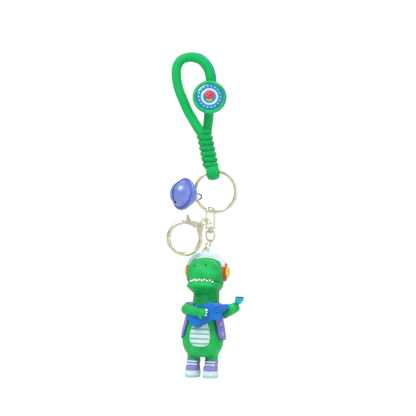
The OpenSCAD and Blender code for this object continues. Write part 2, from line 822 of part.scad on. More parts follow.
// Two pale laces across each shoe.
module shoe_laces() {
    color("white") figure() for (side = [-1, 1], i = [0:1])
        translate([side * 5.9, -4.2 - 1.7 * i, sole_t + 6.1 - 1.5 * i])
            rotate([-48, 0, 0]) cube([5.4, 1, 0.8], center = true);
}

strap_cord();
cord_wrap();
ring_bight();
badge_housing();
badge_sleeve();
badge_disc();
badge_flower();
badge_beads();
split_ring();
bell_slotted_shell();
bell_loop_shell();
bell_loop();
bell_clapper();
upper_shackle();
swivel_collar();
lower_shackle();
swivel_pin();
side_ring();
clasp_hook();
lever_pin();
clasp_lever();
lever_spring();
figure_jump_ring();
headband();
ear_cushion(1);  // ear_cushion_left
ear_cushion(-1);  // ear_cushion_right
ear_cup(1);  // ear_cup_left
ear_cup(-1);  // ear_cup_right
head();
lower_jaw();
eyes();
upper_teeth();
lower_teeth();
torso();
belly_panel();
belly_waves();
tail();
leg(1);  // left_leg
leg(-1);  // right_leg
left_arm();
right_arm();
left_claws();
right_claws();
vest_back();
vest_front_left();
vest_front_right();
sleeve_left();
sleeve_right();
guitar_body();
guitar_neck();
guitar_headstock();
shoe_upper(1);  // shoe_upper_left
shoe_upper(-1);  // shoe_upper_right
shoe_sole(1);  // shoe_sole_left
shoe_sole(-1);  // shoe_sole_right
shoe_laces();
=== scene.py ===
import math

import bmesh
import bpy
import numpy as np
from mathutils import Matrix, Vector


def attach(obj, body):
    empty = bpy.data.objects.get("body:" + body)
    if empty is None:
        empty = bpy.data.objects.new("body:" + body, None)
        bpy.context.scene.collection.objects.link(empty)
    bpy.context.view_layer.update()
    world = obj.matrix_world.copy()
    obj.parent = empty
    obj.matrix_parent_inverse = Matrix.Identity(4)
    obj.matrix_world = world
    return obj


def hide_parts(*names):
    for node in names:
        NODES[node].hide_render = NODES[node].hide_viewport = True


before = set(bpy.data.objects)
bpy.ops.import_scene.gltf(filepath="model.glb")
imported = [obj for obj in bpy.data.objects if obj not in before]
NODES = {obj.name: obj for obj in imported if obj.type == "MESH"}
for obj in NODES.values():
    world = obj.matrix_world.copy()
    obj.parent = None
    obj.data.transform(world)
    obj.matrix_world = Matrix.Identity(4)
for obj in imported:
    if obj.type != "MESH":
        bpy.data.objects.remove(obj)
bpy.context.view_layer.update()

# Everything below is planned in millimetres in the CAD's own frame, and scaled when a mesh is made.
MM = 0.001

# --- Camera, light and world ---

VIEW_WIDTH = 270.4
VIEW_CENTRE = (10.4, -94.25)
CAMERA_AWAY = 1300
SENSOR = 36
# Where the lights point, in metres.
LIT_MIDDLE = (0.008, 0, -0.1)

camera_data = bpy.data.cameras.new("camera")
camera_data.sensor_width = SENSOR
camera_data.lens = SENSOR * CAMERA_AWAY / VIEW_WIDTH
camera_data.clip_start = 0.05
camera = bpy.data.objects.new("camera", camera_data)
camera.location = (VIEW_CENTRE[0] * MM, -CAMERA_AWAY * MM, VIEW_CENTRE[1] * MM)
camera.rotation_euler = (math.pi / 2, 0, 0)
bpy.context.scene.collection.objects.link(camera)
bpy.context.scene.camera = camera
bpy.context.scene.view_settings.view_transform = "Standard"
bpy.context.scene.view_settings.look = "None"


def area_light(name, at, watts, size):
    """A soft white light, aimed at the middle of the object."""
    data = bpy.data.lights.new(name, "AREA")
    data.energy, data.size = watts, size
    light = bpy.data.objects.new(name, data)
    light.location = at
    towards = Vector(LIT_MIDDLE) - Vector(at)
    light.rotation_euler = towards.to_track_quat("-Z", "Y").to_euler()
    bpy.context.scene.collection.objects.link(light)


area_light("key", (-0.35, -0.55, 0.75), 8.0, 0.45)
area_light("fill", (0.7, -0.7, 0.05), 1.6, 0.6)
area_light("rim", (0.35, 0.6, 0.35), 3.0, 0.4)


def make_world():
    """White behind the object, and a soft studio with two dark bands for the metal to reflect."""
    world = bpy.data.worlds.new("studio")
    world.use_nodes = True
    tree = world.node_tree
    tree.nodes.clear()
    coords = tree.nodes.new("ShaderNodeTexCoord")
    split = tree.nodes.new("ShaderNodeSeparateXYZ")
    ramp = tree.nodes.new("ShaderNodeValToRGB")
    shift = tree.nodes.new("ShaderNodeMapRange")
    shift.inputs["From Min"].default_value = -1
    # Brightness from straight down, 0, over the horizon, 0.5, to straight up, 1.
    stops = [(0.0, 0.4), (0.26, 0.16), (0.38, 0.6), (0.5, 0.95), (0.56, 0.75), (0.63, 0.22),
             (0.72, 0.95), (1.0, 0.8)]
    ramp.color_ramp.elements[0].position, ramp.color_ramp.elements[1].position = stops[0][0], stops[-1][0]
    for position, _ in stops[1:-1]:
        ramp.color_ramp.elements.new(position)
    for element, (_, level) in zip(ramp.color_ramp.elements, stops):
        element.color = (level, level, level * 1.02, 1)
    lit, seen = tree.nodes.new("ShaderNodeBackground"), tree.nodes.new("ShaderNodeBackground")
    seen.inputs["Color"].default_value = (1, 1, 1, 1)
    seen.inputs["Strength"].default_value = 1.05
    path = tree.nodes.new("ShaderNodeLightPath")
    mix = tree.nodes.new("ShaderNodeMixShader")
    out = tree.nodes.new("ShaderNodeOutputWorld")
    link = tree.links.new
    link(coords.outputs["Generated"], split.inputs[0])
    link(split.outputs["Z"], shift.inputs["Value"])
    link(shift.outputs["Result"], ramp.inputs["Fac"])
    link(ramp.outputs["Color"], lit.inputs["Color"])
    link(path.outputs["Is Camera Ray"], mix.inputs["Fac"])
    link(lit.outputs[0], mix.inputs[1])
    link(seen.outputs[0], mix.inputs[2])
    link(mix.outputs[0], out.inputs["Surface"])
    bpy.context.scene.world = world


make_world()

# --- Materials ---


def linear(rgb):
    """An sRGB colour of 0 to 255 as linear light."""
    return [((c / 255 + 0.055) / 1.055) ** 2.4 if c > 10 else c / 255 / 12.92 for c in rgb]


def new_material(name, rgb, rough, metallic=0.0, **sockets):
    """A Principled material whose constant values sit on the shader's own sockets."""
    mat = bpy.data.materials.new(name)
    mat.use_nodes = True
    shader = mat.node_tree.nodes["Principled BSDF"]
    shader.inputs["Base Color"].default_value = linear(rgb) + [1]
    shader.inputs["Roughness"].default_value = rough
    shader.inputs["Metallic"].default_value = metallic
    for socket, value in sockets.items():
        shader.inputs[socket.replace("_", " ")].default_value = value
    return mat, mat.node_tree, shader


def noise(tree, coords, scale, detail=3.0, rough=0.5, stretch=None):
    """A noise texture at the given number of features to a metre."""
    if stretch:
        mapping = tree.nodes.new("ShaderNodeMapping")
        mapping.inputs["Scale"].default_value = stretch
        tree.links.new(coords, mapping.inputs["Vector"])
        coords = mapping.outputs[0]
    node = tree.nodes.new("ShaderNodeTexNoise")
    node.inputs["Scale"].default_value = scale
    node.inputs["Detail"].default_value = detail
    node.inputs["Roughness"].default_value = rough
    tree.links.new(coords, node.inputs["Vector"])
    return node.outputs["Fac"]


def tint(tree, shader, fac, dark, light, low=0.3, high=0.7):
    """Runs the base colour between two sRGB colours by a texture, and returns its socket."""
    ramp = tree.nodes.new("ShaderNodeValToRGB")
    ramp.color_ramp.elements[0].position, ramp.color_ramp.elements[1].position = low, high
    ramp.color_ramp.elements[0].color = linear(dark) + [1]
    ramp.color_ramp.elements[1].color = linear(light) + [1]
    tree.links.new(fac, ramp.inputs["Fac"])
    tree.links.new(ramp.outputs["Color"], shader.inputs["Base Color"])
    return ramp.outputs["Color"]


def roughen(tree, shader, fac, low, high):
    """Runs the roughness between two values by a texture."""
    spread = tree.nodes.new("ShaderNodeMapRange")
    spread.inputs["To Min"].default_value, spread.inputs["To Max"].default_value = low, high
    tree.links.new(fac, spread.inputs["Value"])
    tree.links.new(spread.outputs["Result"], shader.inputs["Roughness"])


def bump(tree, shader, *layers):
    """Adds bump layers, each a (texture, height in mm)."""
    last = None
    for fac, height in layers:
        node = tree.nodes.new("ShaderNodeBump")
        node.inputs["Distance"].default_value = height * MM
        tree.links.new(fac, node.inputs["Height"])
        if last:
            tree.links.new(last, node.inputs["Normal"])
        last = node.outputs["Normal"]
    tree.links.new(last, shader.inputs["Normal"])


def combine(tree, operation, *values):
    """A maths node on one or two textures."""
    node = tree.nodes.new("ShaderNodeMath")
    node.operation = operation
    for k, value in enumerate(values):
        tree.links.new(value, node.inputs[k])
    return node


def object_coords(tree):
    return tree.nodes.new("ShaderNodeTexCoord").outputs["Object"]


def moulded(name, rgb, rough, spread, grain, **sockets):
    """Soft moulded PVC: a fine grain, cloudy colour and slightly uneven gloss."""
    mat, tree, shader = new_material(name, rgb, rough, **sockets)
    shader.inputs["Specular IOR Level"].default_value = 0.32
    coords = object_coords(tree)
    dark = [c * (1 - spread) for c in rgb]
    light = [min(255, c * (1 + spread * 0.6) + 3) for c in rgb]
    tint(tree, shader, noise(tree, coords, 160, 4), dark, light)
    roughen(tree, shader, noise(tree, coords, 420, 2), rough - 0.07, rough + 0.1)
    bump(tree, shader, (noise(tree, coords, 2600, 2), grain), (noise(tree, coords, 260, 2), grain * 1.6))
    return mat


def metal(name, rgb, rough):
    """Plated metal with fine scratches, and a slightly cloudy and uneven polish."""
    mat, tree, shader = new_material(name, rgb, rough, 1.0)
    coords = object_coords(tree)
    tint(tree, shader, noise(tree, coords, 300, 3), [c * 0.88 for c in rgb], rgb)
    roughen(tree, shader, noise(tree, coords, 900, 4, 0.7), rough * 0.6, rough * 1.6)
    scratches = noise(tree, coords, 1500, 3, 0.6, (1, 1, 7))
    bump(tree, shader, (scratches, 0.01), (noise(tree, coords, 150, 2), 0.22))
    return mat


def lacquer(name, rgb, dark, shaded_hollow=None):
    """The bell's pearly lacquer. The last argument is a centre and radius inside which the colour is painted
    near black, as painted shade inside the bell.
    """
    mat, tree, shader = new_material(name, rgb, 0.38, 0.35, Coat_Weight=0.5, Coat_Roughness=0.2)
    coords = object_coords(tree)
    outside = tint(tree, shader, noise(tree, coords, 220, 4), dark, rgb, 0.25, 0.75)
    if shaded_hollow:
        centre, radius = shaded_hollow
        # Painted shade: near black inside the bell's wall.
        reach = tree.nodes.new("ShaderNodeVectorMath")
        reach.operation = "DISTANCE"
        reach.inputs[1].default_value = [c * MM for c in centre]
        tree.links.new(coords, reach.inputs[0])
        inner = combine(tree, "LESS_THAN", reach.outputs["Value"])
        inner.inputs[1].default_value = radius * MM
        mix = tree.nodes.new("ShaderNodeMix")
        mix.data_type = "RGBA"
        mix.inputs["B"].default_value = (0.004, 0.005, 0.01, 1)
        tree.links.new(inner.outputs[0], mix.inputs["Factor"])
        tree.links.new(outside, mix.inputs["A"])
        tree.links.new(mix.outputs["Result"], shader.inputs["Base Color"])
    roughen(tree, shader, noise(tree, coords, 700, 3), 0.32, 0.5)
    bump(tree, shader, (noise(tree, coords, 500, 2), 0.02), (noise(tree, coords, 6000, 1), 0.006))
    return mat


# The wave texture repeats every 0.314 of its own units.
WAVE_PERIOD = 0.314
PLAIT_SLANT = math.radians(50)


def plaited(name, rgb, shade, pitch):
    """A rope cord: a fine diagonal plait of a pitch in mm across the UV map, with fibres in it, and painted
    shade in its grooves.
    """
    mat, tree, shader = new_material(name, rgb, 0.7, Sheen_Weight=0.05, Sheen_Roughness=0.4)
    shader.inputs["Specular IOR Level"].default_value = 0.2
    uv = tree.nodes.new("ShaderNodeTexCoord").outputs["UV"]
    heights = []
    for slant in (1, -1):
        mapping = tree.nodes.new("ShaderNodeMapping")
        mapping.inputs["Rotation"].default_value = (0, 0, slant * PLAIT_SLANT)
        mapping.inputs["Scale"].default_value = (WAVE_PERIOD / (pitch * MM),) * 3
        wave = tree.nodes.new("ShaderNodeTexWave")
        wave.inputs["Scale"].default_value = 1
        wave.inputs["Distortion"].default_value = 1.2
        wave.inputs["Detail"].default_value = 2
        tree.links.new(uv, mapping.inputs["Vector"])
        tree.links.new(mapping.outputs[0], wave.inputs["Vector"])
        heights.append(wave.outputs["Fac"])
    weave = combine(tree, "MAXIMUM", *heights).outputs[0]
    coords = object_coords(tree)
    fibre = noise(tree, coords, 2400, 3)
    cloud = noise(tree, coords, 220, 3)
    # The plait's low grooves take the darker colour as painted shade, mixed with a random cloudy tone.
    tint(tree, shader, combine(tree, "MULTIPLY", weave, cloud).outputs[0], shade, rgb, 0.05, 0.5)
    roughen(tree, shader, fibre, 0.5, 0.75)
    bump(tree, shader, (weave, 0.07), (fibre, 0.07), (cloud, 0.16))
    return mat


def clear_plastic(name, rgb):
    """The headband's pale, slightly see-through plastic."""
    mat, tree, shader = new_material(name, rgb, 0.25, Transmission_Weight=0.12, IOR=1.45, Coat_Weight=0.2)
    coords = object_coords(tree)
    tint(tree, shader, noise(tree, coords, 200, 3), [c * 0.95 for c in rgb], rgb)
    roughen(tree, shader, noise(tree, coords, 600, 2), 0.18, 0.34)
    bump(tree, shader, (noise(tree, coords, 1800, 2), 0.03))
    return mat


GREEN = moulded("figure_green_pvc", (0, 168, 78), 0.55, 0.1, 0.06)
PURPLE = moulded("vest_purple_pvc", (126, 116, 186), 0.55, 0.1, 0.07)
PURPLE_EDGE = moulded("vest_edge_pvc", (64, 62, 140), 0.5, 0.12, 0.06)
BLUE = moulded("guitar_blue_pvc", (0, 102, 188), 0.5, 0.1, 0.05)
TEAL = moulded("headstock_teal_pvc", (0, 160, 174), 0.45, 0.1, 0.04)
DARK = moulded("dark_pvc", (22, 40, 70), 0.5, 0.2, 0.04)
PALE = moulded("pale_pvc", (192, 218, 216), 0.5, 0.05, 0.05)
SOLE_SHADE = moulded("sole_underside_painted_shade", (150, 196, 200), 0.55, 0.1, 0.08)
BELLY = moulded("belly_pvc", (196, 216, 224), 0.52, 0.05, 0.05)
TOOTH = moulded("tooth_white", (240, 244, 240), 0.35, 0.04, 0.02)
RED = moulded("cushion_red_pvc", (205, 26, 52), 0.4, 0.12, 0.05)
YELLOW = moulded("cup_yellow_pvc", (206, 206, 40), 0.4, 0.12, 0.04)
VEST_HIGHLIGHT = moulded("vest_mark_painted_highlight", (128, 172, 216), 0.45, 0.05, 0.03)
MOUTH_SHADE = moulded("mouth_painted_shade", (1, 84, 34), 0.6, 0.1, 0.02)
EYE = moulded("eye_black", (8, 10, 12), 0.18, 0.2, 0.01, Coat_Weight=0.6)
BAND = clear_plastic("band_pale_plastic", (222, 246, 246))
STEEL = metal("plated_steel", (226, 222, 194), 0.2)
STEEL_DARK = metal("spring_steel", (150, 150, 142), 0.3)
BELL_LOOP = lacquer("loop_lacquer", (60, 110, 140), (30, 70, 110))
CORD = plaited("cord_green_plait", (0, 174, 88), (0, 160, 80), 1.25)
WRAP = plaited("wrap_green_plait", (0, 174, 88), (0, 158, 79), 1.1)
CORD_STRIP = moulded("cord_blue_piping", (0, 130, 186), 0.5, 0.12, 0.06)
BADGE_GREEN = moulded("badge_green_rubber", (0, 170, 88), 0.45, 0.12, 0.05)
BADGE_BLUE = moulded("badge_blue_enamel", (0, 118, 178), 0.2, 0.08, 0.01, Coat_Weight=0.7)
BADGE_RED = moulded("badge_red_enamel", (206, 36, 60), 0.22, 0.08, 0.01, Coat_Weight=0.6)
BADGE_LEAF = moulded("badge_leaf_enamel", (176, 196, 60), 0.25, 0.1, 0.01, Coat_Weight=0.5)
BADGE_PALE = moulded("badge_pale_enamel", (176, 214, 226), 0.25, 0.05, 0.01, Coat_Weight=0.5)

# --- Mesh helpers ---


def unit(v):
    v = np.asarray(v, float)
    return v / np.linalg.norm(v)


def smooth(points, steps, closed=False):
    """A smooth curve through the points, with the given number of steps in each gap."""
    p = np.asarray(points, float)
    n = len(p)
    out = []
    for i in range(n if closed else n - 1):
        if closed:
            p0, p1, p2, p3 = p[i - 1], p[i], p[(i + 1) % n], p[(i + 2) % n]
        else:
            p0, p1, p2, p3 = p[max(i - 1, 0)], p[i], p[i + 1], p[min(i + 2, n - 1)]
        for s in range(steps):
            t = s / steps
            out.append(0.5 * (2 * p1 + (p2 - p0) * t + (2 * p0 - 5 * p1 + 4 * p2 - p3) * t * t
                              + (3 * p1 - p0 - 3 * p2 + p3) * t ** 3))
    if not closed:
        out.append(p[-1])
    return np.array(out)


def even(path, count):
    """The same path with its points an equal way apart."""
    run = np.concatenate([[0], np.cumsum(np.linalg.norm(np.diff(path, axis=0), axis=1))])
    at = np.linspace(0, run[-1], count)
    return np.stack([np.interp(at, run, path[:, k]) for k in range(path.shape[1])], 1)


def grid_faces(rows, cols, wrap_rows=False, wrap_cols=True):
    """Quads over a grid of points, which may join up in either direction."""
    faces = []
    for r in range(rows if wrap_rows else rows - 1):
        for c in range(cols if wrap_cols else cols - 1):
            a, b = r * cols + c, r * cols + (c + 1) % cols
            d, e = ((r + 1) % rows) * cols + c, ((r + 1) % rows) * cols + (c + 1) % cols
            faces.append((a, b, e, d))
    return faces


def end_faces(rows, cols):
    """The two flat ends of a stack of rings."""
    return [tuple(range(cols))[::-1], tuple((rows - 1) * cols + i for i in range(cols))]


def tube(path, radius, sides=16, caps=True, normal=None, section=None):
    """A tube along a path, with one radius or one for each point, and rounded caps.

    Its section's first axis stays square to a normal, and a section stands in for the circle.
    """
    path = np.asarray(path, float)
    radius = np.broadcast_to(np.asarray(radius, float), (len(path),)).copy()
    if caps:
        first, last = unit(path[1] - path[0]), unit(path[-1] - path[-2])
        arc = np.radians([80, 55, 30])
        path = np.vstack([[path[0] - first * radius[0] * math.sin(a) for a in arc], path,
                          [path[-1] + last * radius[-1] * math.sin(a) for a in arc[::-1]]])
        radius = np.concatenate([radius[0] * np.cos(arc), radius, radius[-1] * np.cos(arc[::-1])])
    n = len(path)
    ahead = np.roll(path, -1, 0) - np.roll(path, 1, 0)
    ahead[0], ahead[-1] = path[1] - path[0], path[-1] - path[-2]
    ahead = np.array([unit(v) for v in ahead])
    side = unit(np.cross(ahead[0], [0, 0, 1] if abs(ahead[0][2]) < 0.9 else [0, 1, 0]))
    angles = 2 * math.pi * np.arange(sides) / sides
    across = section if section is not None else np.stack([np.cos(angles), np.sin(angles)], 1)
    points = []
    for k in range(n):
        if normal is not None:
            side = unit(np.cross(ahead[k], normal))
        else:
            side = unit(side - ahead[k] * np.dot(side, ahead[k]))
        up = np.cross(side, ahead[k])
        points.append(path[k] + radius[k] * (across[:, :1] * side + across[:, 1:] * up))
    points = np.vstack(points)
    return points, grid_faces(n, len(across)) + end_faces(n, len(across))


def lathe(profile, sides=64):
    """A solid or ring turned about local z from (radius, height) points."""
    angles = 2 * math.pi * np.arange(sides) / sides
    points = np.vstack([np.stack([r * np.cos(angles), r * np.sin(angles), np.full(sides, z)], 1)
                        for r, z in profile])
    faces = grid_faces(len(profile), sides)
    first_end, last_end = end_faces(len(profile), sides)
    if profile[0][0] > 0:
        faces.append(first_end)
    if profile[-1][0] > 0:
        faces.append(last_end)
    return points, faces


def turned_ring(section, sides=96):
    """A ring turned about local z from a closed section of (radius, height) points."""
    angles = 2 * math.pi * np.arange(sides) / sides
    section = np.asarray(section, float)
    points = np.vstack([np.stack([section[:, 0] * math.cos(a), section[:, 0] * math.sin(a), section[:, 1]], 1)
                        for a in angles])
    return points, grid_faces(sides, len(section), wrap_rows=True)


def slab(outline, low, high):
    """A flat plate between two heights, from an outline in local x and y."""
    outline = np.asarray(outline, float)
    n = len(outline)
    points = np.vstack([np.column_stack([outline, np.full(n, z)]) for z in (low, high)])
    faces = [tuple(range(n))[::-1], tuple(range(n, 2 * n))]
    faces += [(i, (i + 1) % n, n + (i + 1) % n, n + i) for i in range(n)]
    return points, faces


def moved(shape, matrix):
    """A shape's points run through a 4 by 4 matrix."""
    points, faces = shape
    m = np.array(matrix, float)
    return points @ m[:3, :3].T + m[:3, 3], faces


def joined(*shapes):
    """Several shapes as one."""
    points, faces, start = [], [], 0
    for p, f in shapes:
        points.append(p)
        faces += [tuple(i + start for i in face) for face in f]
        start += len(p)
    return np.vstack(points), faces


def place(at, x, y, z):
    """The matrix that lays local axes along three directions at a place."""
    return Matrix([[x[i], y[i], z[i], at[i]] for i in range(3)] + [[0, 0, 0, 1]])


def aim(at, z, x=(1, 0, 0)):
    """The same, from the z direction and a rough x direction."""
    z = unit(z)
    y = unit(np.cross(z, x))
    return place(at, np.cross(y, z), y, z)


def turn(degrees, axis):
    return Matrix.Rotation(math.radians(degrees), 4, axis)


def new_object(name, data):
    obj = bpy.data.objects.new(name, data)
    bpy.context.scene.collection.objects.link(obj)
    return obj


def finished(data, mat):
    """Gives a mesh one material, and smooth shading all over."""
    data.materials.clear()
    data.materials.append(mat)
    data.polygons.foreach_set("use_smooth", [True] * len(data.polygons))


def bevelled(obj, width, degrees):
    """Rounds off the edges that are sharper than an angle."""
    mod = obj.modifiers.new("bevel", "BEVEL")
    mod.width, mod.segments, mod.limit_method = width * MM, 3, "ANGLE"
    mod.angle_limit = math.radians(degrees)


def piece(name, shape, mat, body, slot, stands_for=(), bevel=0.0, subdivide=0, remesh=0.0, relax=0,
          angle=35):
    """Makes a mesh in metres, with its material and finish, that rides on a body."""
    points, faces = shape
    data = bpy.data.meshes.new(name)
    data.from_pydata((points * MM).tolist(), [], [tuple(int(i) for i in f) for f in faces])
    data.validate()
    obj = new_object(name, data)
    fix_normals(data)
    finished(data, mat)
    if remesh:
        mod = obj.modifiers.new("remesh", "REMESH")
        mod.mode, mod.voxel_size, mod.use_smooth_shade = "VOXEL", remesh * MM, True
    if relax:
        mod = obj.modifiers.new("relax", "SMOOTH")
        mod.factor, mod.iterations = 0.5, relax
    if bevel:
        bevelled(obj, bevel, angle)
    if subdivide:
        mod = obj.modifiers.new("subdivide", "SUBSURF")
        mod.levels = mod.render_levels = subdivide
    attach(obj, body)
    if stands_for:
        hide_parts(*stands_for)
    return obj


def fix_normals(data):
    """Turns all of a mesh's faces outwards."""
    bm = bmesh.new()
    bm.from_mesh(data)
    bmesh.ops.recalc_face_normals(bm, faces=bm.faces)
    bm.to_mesh(data)
    bm.free()


def softened(node, mat, body, bevel, name=None):
    """A copy of a hard-edged CAD piece with its edges rounded off, in place of the node."""
    data = NODES[node].data.copy()
    bm = bmesh.new()
    bm.from_mesh(data)
    bmesh.ops.remove_doubles(bm, verts=bm.verts, dist=1e-6)
    bmesh.ops.dissolve_limit(bm, angle_limit=math.radians(2), verts=bm.verts, edges=bm.edges)
    bm.to_mesh(data)
    bm.free()
    obj = new_object(name or node + "_finished", data)
    finished(data, mat)
    bevelled(obj, bevel, 30)
    weighted = obj.modifiers.new("normals", "WEIGHTED_NORMAL")
    weighted.keep_sharp = True
    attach(obj, body)
    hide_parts(node)


def finish_node(node, mat):
    """Gives a CAD node that stays its material and smooth shading."""
    data = NODES[node].data
    finished(data, mat)
    data.set_sharp_from_angle(angle=math.radians(32))


def uv_on_grid(obj, cols, uv_at):
    """A UV map over a grid of rings: uv_at turns a row, and a share of the way round, into metres."""
    layer = obj.data.uv_layers.new(name="UVMap")
    for face in obj.data.polygons:
        around = [v % cols for v in face.vertices]
        wraps = max(around) - min(around) > 1
        for loop in face.loop_indices:
            row, col = divmod(obj.data.loops[loop].vertex_index, cols)
            layer.data[loop].uv = uv_at(row, (cols if wraps and col == 0 else col) / cols)


# Once round the cord, in metres.
CORD_AROUND = 0.02


def uv_by_tube(obj, rows, cols, length):
    """A tube's UV map: u goes once round, and v runs along its length in metres."""
    uv_on_grid(obj, cols, lambda row, turned: (turned * CORD_AROUND, row / (rows - 1) * length))


# --- Strap ---

CORD_D = 6.2
PIPING_R, PIPING_SUNK = 1.0, 0.25
STRAP_ROUTE = [
    (5, -2, -44), (3.2, -1.6, -41.2), (0.7, -0.6, -37), (-2.6, 0, -31.2), (-5.2, 0, -25.4),
    (-7.7, 0, -19.5), (-9.4, 0, -13.7), (-10.2, 0, -7.8), (-9.6, 0, -2), (-6.6, 0, 2.2), (-1, 0, 3.8),
    (5.2, 0, 2.2), (9.7, 0, -2.4), (11.7, 0, -8.1), (12, 0, -13.7), (11.6, 0, -22.6), (11.1, 0, -31.2),
    (10.7, 0.8, -37), (10.1, 1.7, -41.2), (9.8, 2, -44)]


def strap():
    """The wrist loop: a plaited rope, with a blue piping along it."""
    # Both ends run on into the wrap.
    route = [(7.7, -0.5, -49), (6.5, -1.2, -46.5)] + STRAP_ROUTE + [(8.9, 1.2, -46.5), (8.6, 0.5, -49)]
    path = even(smooth(route, 12), 160)
    length = float(np.linalg.norm(np.diff(path, axis=0), axis=1).sum()) * MM
    sides = 24
    shape = tube(path, CORD_D / 2 - 0.02, sides, caps=False, normal=(0, 1, 0))
    cord = piece("strap_cord_plait", shape, CORD, "strap", "cord_green", ("strap_cord",))
    uv_by_tube(cord, len(path), sides, length)
    # The piping runs along the cord's back, at 90 degrees, and comes round to its outer edge, at 0,
    # on the upper right.
    ahead = np.array([unit(v) for v in np.gradient(path, axis=0)])
    out, back = np.cross(ahead, (0, 1, 0)), np.array((0, 1, 0))
    share = np.linspace(0, 1, len(path))
    bearing = np.radians(np.interp(share, (0, 0.42, 0.56, 0.72, 0.8, 1), (85, 80, 14, 10, 60, 85)))
    sideways = np.cos(bearing)[:, None] * out + np.sin(bearing)[:, None] * back
    edge = path + (CORD_D / 2 - PIPING_SUNK) * sideways
    piece("strap_cord_piping", tube(edge[9:-9], PIPING_R, 12), CORD_STRIP, "strap", "badge_blue")


strap()

# --- Places in the assembly ---

WRAP_TOP = np.array((7.5, 0, -44))
WRAP_LEAN = math.radians(11.7)
WRAP_DIR = np.array((math.sin(WRAP_LEAN), 0, -math.cos(WRAP_LEAN)))
WRAP_L, WRAP_D, WRAP_TURNS = 25.4, 10.4, 7
# One turn's radius, the depth of the groove between two, and how far the ends draw in.
TURN_R, GROOVE, WRAP_DRAW = 1.86, 1.5, 3.2
RING_CENTRE = np.array((15.3, 0, -83.7))
RING_MEAN = 13.15
BIGHT_ANGLE = math.radians(97.8)
BADGE_TILT = 12
BADGE = Matrix.Translation((11.4, -7, -22.6)) @ turn(90 - BADGE_TILT, "X")
BELL_AXIS = unit((-0.75, -0.63, 0.18))
BELL_CENTRE = (-5.5, -6.6, -85.2)
BELL_AT = aim(BELL_CENTRE, BELL_AXIS, (0, 0, 1))
# The middle of the bell's wall: inside it the colour is painted near black, as painted shade.
BELL_SHADE_REACH = 8.45
BELL = lacquer("bell_lacquer", (116, 136, 208), (92, 112, 192), (BELL_CENTRE, BELL_SHADE_REACH))
LUG = (9.334525, 0, -121.576863)
LUG_Z = 82.7
FIGURE = Matrix.Translation(LUG) @ turn(2, "Y") @ turn(-12, "Z") @ Matrix.Translation((0, 0, -LUG_Z))


def wrap():
    """The strap's end: seven turns of one cord wound round the two legs."""
    pitch, rows, sides = WRAP_L / WRAP_TURNS, 168, 72
    points = []
    core = WRAP_D / 2 - WRAP_DRAW
    for k in range(rows + 1):
        z = WRAP_L * k / rows
        ease = min(1.0, (z + 0.1) / 0.9, (WRAP_L - z) / 1.9)
        for i in range(sides):
            across = ((z / pitch + i / sides) % 1 - 0.5) * pitch
            r = WRAP_D / 2 - TURN_R + math.sqrt(max(TURN_R ** 2 - across ** 2, 0))
            r = core + (max(r, WRAP_D / 2 - GROOVE) - core) * math.sqrt(max(ease, 0))
            a = 2 * math.pi * i / sides
            points.append((r * math.cos(a), r * math.sin(a), z))
    shape = np.array(points), grid_faces(rows + 1, sides) + end_faces(rows + 1, sides)
    obj = piece("cord_wrap_turns", moved(shape, aim(WRAP_TOP, WRAP_DIR)), WRAP, "strap", "cord_green",
                ("cord_wrap",))
    # The plait runs along the winding cord. 1.6 allows for the way over the bulge of each turn.
    over, around = WRAP_L * MM * 1.6, math.pi * WRAP_D * MM
    uv_on_grid(obj, sides, lambda row, turned: (row / rows * over,
                                                (row / rows * WRAP_TURNS + turned) * around))


def bight():
    """The flattened end of the cord that is bent under the split ring."""
    at = RING_CENTRE + RING_MEAN * np.array((math.cos(BIGHT_ANGLE), 0, math.sin(BIGHT_ANGLE)))
    along = (-math.sin(BIGHT_ANGLE), 0, math.cos(BIGHT_ANGLE))
    half = 3.64
    arc = [(-half * math.cos(math.radians(t)), half * math.sin(math.radians(t))) for t in range(-80, 81, 10)]
    legs = [(5.4, 1.0), (4.2, 1.7), (2.9, 2.45), (1.7, 3.1), (0.5, 3.62)]
    route = [(x, -y, 0) for x, y in legs] + [(x, y, 0) for x, y in arc] + [(x, y, 0) for x, y in legs[::-1]]
    rows, sides = 44, 32
    angles = 2 * math.pi * np.arange(sides) / sides
    c, s = np.cos(angles), np.sin(angles)
    section = np.stack([2.2 * c, 4.5 * np.sign(s) * abs(s) ** 0.95], 1)
    path = even(smooth(route, 2), rows)
    size = np.interp(np.linspace(0, 1, rows), (0, 0.12, 0.28, 0.5, 0.72, 0.88, 1),
                     (0.76, 0.9, 1, 0.84, 1, 0.9, 0.76))
    shape = tube(path, size, caps=False, normal=(0, 0, 1), section=section)
    obj = piece("ring_bight_plait", moved(shape, aim(at, along, (0, 0, 1))), WRAP, "strap", "cord_green",
                ("ring_bight",))
    uv_by_tube(obj, rows, sides, 0.04)


